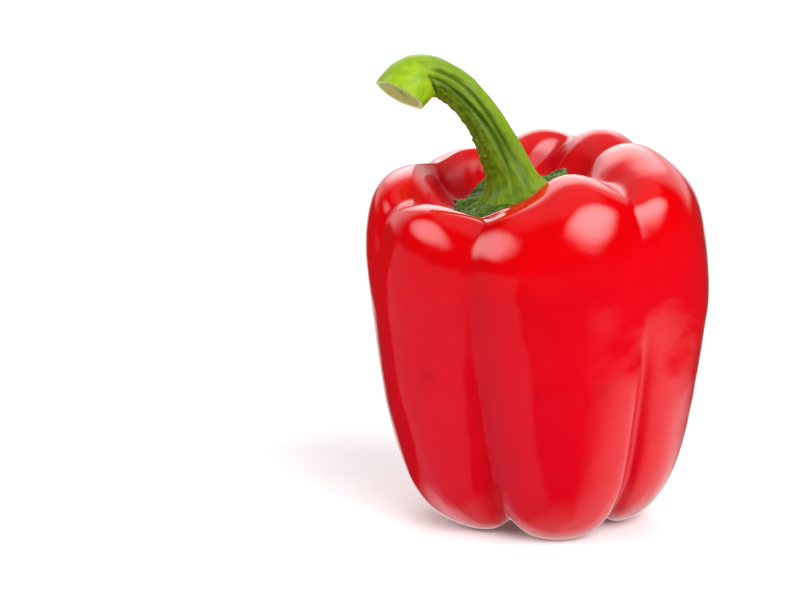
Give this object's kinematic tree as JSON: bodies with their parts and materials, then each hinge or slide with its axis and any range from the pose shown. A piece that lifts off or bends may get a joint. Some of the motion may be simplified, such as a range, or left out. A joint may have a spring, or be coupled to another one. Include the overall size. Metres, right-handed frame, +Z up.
{
  "type": "bell pepper",
  "caption": "Ripe bell pepper standing upright: lobed blocky fruit, green calyx sunk in the well and a bent, ribbed, cut stem.",
  "frame": {"origin": "bottom centre of the whole object's box, on the surface that the four feet stand on", "axes": "+Z up along the fruit's height to the top of the stem; -Y is the front, with the foremost lobe; +X is to the right seen from the front, and the stem bends towards -X"},
  "size_m": [0.0844, 0.0843, 0.1164],
  "materials": {
    "fruit_skin": "waxy, glossy ripe red skin",
    "calyx_leaf": "dark green, wrinkled, slightly waxy leaf tissue",
    "stem_rind": "satin green ribbed rind, paler at the knob, with a dry pale cut face"
  },
  "bodies": {
    "root": {"pepper_body": "fruit_skin", "calyx": "calyx_leaf", "stem": "stem_rind"}
  },
  "joints": []
}
